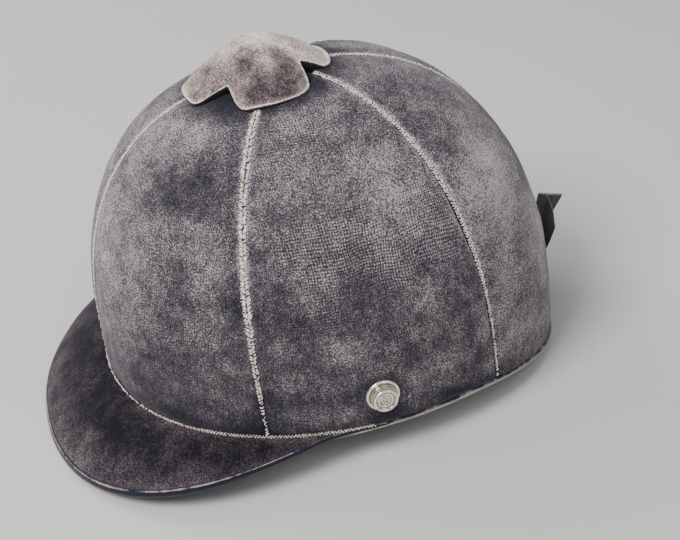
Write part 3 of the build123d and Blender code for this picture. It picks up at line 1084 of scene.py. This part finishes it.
def build_button():
    """Four-lobed velvet cushion with a thin rubbed edge and dark walls, the walls painted as the shade under
    the lobes.
    """
    points = [(0.0, BUTTON_Y, button_surface(0.0, 0.0))]
    wear = [0.95]
    for k in range(1, BUTTON_RINGS + 1):
        ring, ring_wear = top_ring((k / BUTTON_RINGS) ** 0.85)
        points += ring
        wear += ring_wear
    # Pale rubbed crest on the first edge rings; the walls below and the foot get dark nap, which also paints
    # the shade in the gap under the lobes.
    for k in range(1, BUTTON_EDGE + 1):
        points += edge_ring(math.radians(EDGE_BEND) * k / BUTTON_EDGE)
        wear += [1.0 if k < 4 else 0.0] * BUTTON_TURNS
    for turn, full in lobe_turns(FOOT_INSET):
        x, y = around_button(turn, full)
        points.append((x, y + BUTTON_Y, dome_level(x, y + BUTTON_Y) - 0.8))
    points.append((0.0, BUTTON_Y, CROWN_HEIGHT - 3.0))
    wear += [0.0] * (BUTTON_TURNS + 1)
    rows = BUTTON_RINGS + BUTTON_EDGE + 1
    last = 1 + (rows - 1) * BUTTON_TURNS
    centre = len(points) - 1
    faces = [(0, 1 + i, 1 + (i + 1) % BUTTON_TURNS) for i in range(BUTTON_TURNS)]
    faces += grid_faces(rows, BUTTON_TURNS, 1, around=True, flip=True)
    faces += [(centre, last + (i + 1) % BUTTON_TURNS, last + i) for i in range(BUTTON_TURNS)]
    obj = make_object("crown_button", points, faces, button_velvet)
    set_uv(obj, [(p[0] * MM, p[1] * MM) for p in points])
    set_paint(obj, "worn", wear)
    attach(obj, "velvet", "crown_button_velvet", "crown_button_core")


build_button()

# ---- Press studs ----

# Distance along x, radius and darkening of the recesses (painted shade), from the flange's back to the
# dish's middle
STUD_PROFILE = (
    (103.0, 7.6, 1.0), (103.9, 8.2, 0.7), (104.3, 8.22, 0.1), (104.75, 8.0, 0.0), (105.0, 7.6, 0.0),
    (104.95, 7.2, 0.25), (104.75, 6.7, 0.8), (104.65, 6.2, 1.0), (104.8, 5.7, 1.0), (105.3, 5.4, 1.0),
    (105.9, 5.4, 0.9), (106.2, 5.75, 0.5), (106.5, 6.0, 0.2), (107.6, 6.0, 0.35), (108.7, 6.0, 0.1),
    (109.2, 5.85, 0.0), (109.45, 5.5, 0.0), (109.4, 5.05, 0.15), (109.0, 4.7, 0.8), (108.6, 4.4, 1.0),
    (108.4, 4.0, 0.9), (108.6, 3.7, 0.2), (108.9, 3.35, 0.0), (108.85, 3.0, 0.3), (108.4, 2.7, 1.0),
    (108.15, 2.4, 0.9), (108.3, 2.1, 0.2), (108.55, 1.8, 0.0), (108.45, 1.4, 0.5), (108.1, 1.05, 1.0),
    (108.05, 0.7, 0.7), (108.2, 0.3, 0.2),
)
left_stud = lathe("press_stud_left", STUD_PROFILE, stud_metal)
right_stud = mirrored(left_stud, "press_stud_right")
attach(left_stud, "stud_metal", "snap_stud_left")
attach(right_stud, "stud_metal", "snap_stud_right")

# ---- Rim edge ----


def build_rim():
    """Rolled velvet edge that follows the rim all round."""
    steps = 240
    profile_steps = 14
    points = []
    wear = []
    for i in range(steps):
        angle = 360.0 * i / steps
        base = dome_point(angle, 0.0)
        foot = rim_level(base.y)
        for k in range(profile_steps):
            turn = math.tau * k / profile_steps
            inset = 2.6 - 2.65 * math.cos(turn)
            level = 1.35 + 1.35 * math.sin(turn)
            p = dome_point(angle, 0.0, -inset)
            p.z = foot + level + 0.08 * rumple(p, 6.0, 9.0)
            points.append(tuple(p))
            wear.append(0.2 + 0.7 * hump(turn - math.radians(325.0), 0.8) + 0.2 * hump(turn, 0.6))
    faces = grid_faces(steps, profile_steps, around=True, ring=True)
    obj = make_object("rim_roll", points, faces, rim_edge)
    set_paint(obj, "worn", wear)
    attach(obj, "binding", "rim_binding")


build_rim()


def edge_roll(name, path, radius):
    """Closed thin roll along a loop of points."""
    sides = 8
    points = []
    wear = []
    for i, here in enumerate(path):
        along = (path[(i + 1) % len(path)] - path[i - 1]).normalized()
        across = along.cross(UP).normalized()
        upward = across.cross(along)
        thick = radius * (1.0 + 0.25 * rumple(here, 4.0, 12.0))
        for k in range(sides):
            turn = math.tau * k / sides
            swing = across * (thick * math.cos(turn)) + upward * (thick * math.sin(turn))
            points.append(tuple(here + swing))
            wear.append(0.78 + 0.25 * rumple(here, 17.0, 15.0))
    faces = grid_faces(len(path), sides, around=True, ring=True)
    obj = make_object(name, points, faces, rim_edge)
    set_paint(obj, "worn", wear)
    attach(obj, "binding")


rim_path = []
for index in range(360):
    spot = dome_point(float(index), 0.0, 0.05)
    spot.z = rim_level(spot.y) + 0.75
    rim_path.append(spot)
edge_roll("rim_edge_cord", rim_path, 0.5)

# ---- Ribbon ----

TAIL_ROWS = 44
TAIL_COLUMNS = 26
TAIL_HALF_THICK = 0.16
TAIL_PIVOT = Vector((0.0, TAIL_PIVOT_Y, TAIL_PIVOT_Z))
FRAY_THREADS = 64
fray_thread = plain_cloth("fray_thread", (0.20, 0.15, 0.12), (0.45, 0.38, 0.32), 0.0006, 0.8)


def tail_frame(lean):
    """Axes of a tail: across, along and out of its face."""
    turn = math.radians(lean)
    along = Vector((0.0, math.sin(turn), math.cos(turn)))
    face = Vector((0.0, math.cos(turn), -math.sin(turn)))
    return Vector((1.0, 0.0, 0.0)), along, face


def tail_wave(curl, x, length, side, part, share):
    """How far the curled ribbon stands off its flat plane."""
    arch = curl * share * share * math.sin(math.pi * (0.25 + 0.9 * part))
    return arch + 0.5 * share * rumple((x, length, 0.0), 11.0, 3.0 + side)


def frayed_end(name, side, axes, curl):
    """Short loose threads along the cut end of a tail."""
    across, along, face = axes
    points = []
    faces = []
    shuffle = random.Random(41 + side)
    for k in range(FRAY_THREADS):
        part = k / (FRAY_THREADS - 1)
        x = side * (1.0 + TAIL_SPREAD + TAIL_END_WIDTH * part)
        length = TAIL_LENGTH - TAIL_SLANT * part
        wave = tail_wave(curl, x, length, side, part, 1.0)
        previous = TAIL_PIVOT + across * x + along * (length - 0.3) + face * wave
        reach = shuffle.uniform(0.5, 1.9)
        bend = Vector((shuffle.uniform(-0.5, 0.5), 0.0, 0.0)) + face * shuffle.uniform(-0.6, 0.6)
        for step in range(3):
            target = previous + (along + bend * (0.4 * step)) * (reach / 3.0)
            way = (target - previous).normalized()
            tuft(points, faces, 0.5 * (previous + target), way, across, face, (reach / 4.5, 0.17, 0.17))
            previous = target
    return make_object(name, points, faces, fray_thread)


def ribbon_tail(name, side, lean, body, node, curl):
    """One tail from its stitch line to its slanted, frayed end."""
    axes = tail_frame(lean)
    across, along, face = axes
    front = []
    back = []
    uv = []
    for j in range(TAIL_ROWS):
        share = j / (TAIL_ROWS - 1)
        width = mixed(TAIL_ROOT_WIDTH, TAIL_END_WIDTH, share)
        for i in range(TAIL_COLUMNS):
            part = i / (TAIL_COLUMNS - 1)
            x = side * (1.0 + TAIL_SPREAD * share + width * part)
            length = mixed(TAIL_ROOT, TAIL_LENGTH - TAIL_SLANT * part, share)
            wave = tail_wave(curl, x, length, side, part, share)
            centre = TAIL_PIVOT + across * x + along * length + face * wave
            front.append(tuple(centre + face * TAIL_HALF_THICK))
            back.append(tuple(centre - face * TAIL_HALF_THICK))
            uv.append((x * MM, length * MM))
    obj = thick_sheet(name, back, front, TAIL_ROWS, TAIL_COLUMNS, ribbon_cloth)
    set_uv(obj, uv + uv)
    attach(obj, "ribbon", node, body=body)
    fringe = frayed_end(name + "_fringe", side, axes, curl)
    attach(fringe, "ribbon", body=body)


def rounded_block(name, low, high, edge, wave):
    """Soft ribbon block between two corners with rounded sides and folds across it."""
    steps = 18
    centre = 0.5 * (low + high)
    half = 0.5 * (high - low)
    points = []
    rows = steps + 1
    turns = 4 * steps
    for j in range(rows):
        lat = math.pi * (j + 0.5) / rows - 0.5 * math.pi
        for i in range(turns):
            lon = math.tau * i / turns
            d = [math.cos(lat) * math.cos(lon), math.cos(lat) * math.sin(lon), math.sin(lat)]
            p = [math.copysign(abs(v) ** edge, v) for v in d]
            y = centre.y + half.y * p[1] * (1.0 + wave * math.cos(5.0 * math.pi * p[2]))
            points.append((centre.x + half.x * p[0], y, centre.z + half.z * p[2]))
    faces = grid_faces(rows, turns, around=True)
    faces.append(tuple(reversed(range(turns))))
    faces.append(tuple((rows - 1) * turns + i for i in range(turns)))
    obj = make_object(name, points, faces, ribbon_cloth)
    set_uv(obj, [(p[0] * MM, p[2] * MM) for p in points])
    return obj


# Name, node, low and high corner behind the dome's back, roundness, folds
BOW_BLOCKS = (
    ("bow_knot", "ribbon_knot", (-8.0, 0.2, -11.0), (8.0, 4.6, 1.0), 0.5, 0.06),
    ("bow_loops", "ribbon_backing", (-22.0, -2.6, -12.2), (22.0, 2.0, 2.2), 0.55, 0.05),
)
BACK = Vector((0.0, REAR_REACH, 0.0))
for block_name, block_node, low, high, roundness, folds in BOW_BLOCKS:
    block = rounded_block(block_name, BACK + Vector(low), BACK + Vector(high), roundness, folds)
    attach(block, "ribbon", block_node)
ribbon_tail("tail_left", 1.0, TAIL_LEAN_LEFT, "left_tail", "ribbon_tail_left", 1.8)
ribbon_tail("tail_right", -1.0, TAIL_LEAN_RIGHT, "right_tail", "ribbon_tail_right", 1.4)

# ---- Finishes of the pieces kept from the design ----

FINISHES = {
    "outer_shell": shell_plastic,
    "crash_liner": foam,
    "quilted_lining": lining_cloth,
    "crown_pad": lining_cloth,
    "sweatband_foam": foam,
    "sweatband_leather": band_leather,
    "sweatband_bow": ribbon_cloth,
    "peak_core": shell_plastic,
    "brow_strip": dome_velvet,
    "button_rivet": brass_metal,
}
for fitting in ("post", "washer"):
    for hand in ("left", "right"):
        FINISHES[f"snap_{fitting}_{hand}"] = brass_metal
for node_name, finish in FINISHES.items():
    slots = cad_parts[node_name].data.materials
    slots.clear()
    slots.append(finish)

# ---- Floor, light and camera ----


def floor_material():
    paint = Paint("floor_paper", roughness=0.9, specular=0.2)
    tone = paint.grain(3.0, 3.0, 0.5)
    paint.colour(paint.blend(tone, (0.62, 0.61, 0.59), (0.68, 0.67, 0.65)))
    return paint.material


def build_floor():
    """Plain pale floor, in metres."""
    mesh = bpy.data.meshes.new("floor")
    half = 6.0
    corners = [(-half, -half, 0.0), (half, -half, 0.0), (half, half, 0.0), (-half, half, 0.0)]
    mesh.from_pydata(corners, [], [(0, 1, 2, 3)])
    mesh.materials.append(floor_material())
    add_object("floor", mesh)


def direction(azimuth, elevation):
    """Unit vector toward a place, with azimuth from the front toward the left."""
    a = math.radians(azimuth)
    e = math.radians(elevation)
    return Vector((math.sin(a) * math.cos(e), -math.cos(a) * math.cos(e), math.sin(e)))


def area_light(name, azimuth, elevation, distance, size, power, tint):
    """Soft square lamp aimed at the helmet."""
    lamp = bpy.data.lights.new(name, "AREA")
    lamp.energy = power
    lamp.size = size
    lamp.color = tint
    obj = add_object(name, lamp)
    way = direction(azimuth, elevation)
    obj.location = place(0.0, 0.0, 40.0) + way * distance
    obj.rotation_euler = (-way).to_track_quat("-Z", "Y").to_euler()


# Name, azimuth, elevation, distance and size in metres, watts, tint
LIGHTS = (
    ("key", 35.0, 52.0, 1.6, 0.7, 26.0, (1.0, 0.985, 0.96)),
    ("fill", 130.0, 40.0, 1.9, 1.4, 9.0, (0.95, 0.97, 1.0)),
    ("rim", 300.0, 35.0, 1.8, 1.0, 16.0, (1.0, 1.0, 1.0)),
)


def build_light():
    for light in LIGHTS:
        area_light(*light)
    world = bpy.data.worlds.new("studio")
    bpy.context.scene.world = world
    world.use_nodes = True
    background = world.node_tree.nodes["Background"]
    background.inputs["Color"].default_value = (0.92, 0.94, 1.0, 1.0)
    background.inputs["Strength"].default_value = 0.38


def build_camera():
    data = bpy.data.cameras.new("camera")
    data.lens = CAMERA_LENS
    data.sensor_width = 36.0
    data.clip_start = 0.01
    camera = add_object("camera", data)
    roll = math.radians(CAMERA_ROLL)
    back = direction(CAMERA_AZIMUTH, CAMERA_ELEVATION)
    right = (-back).cross(UP).normalized()
    up = right.cross(-back)
    turned_right = right * math.cos(roll) + up * math.sin(roll)
    turned_up = up * math.cos(roll) - right * math.sin(roll)
    turn = Matrix((turned_right, turned_up, back)).transposed().to_4x4()
    spot = place(*CAMERA_TARGET) + back * (CAMERA_DISTANCE * MM)
    camera.matrix_world = Matrix.Translation(spot) @ turn
    bpy.context.scene.camera = camera


build_floor()
build_light()
build_camera()
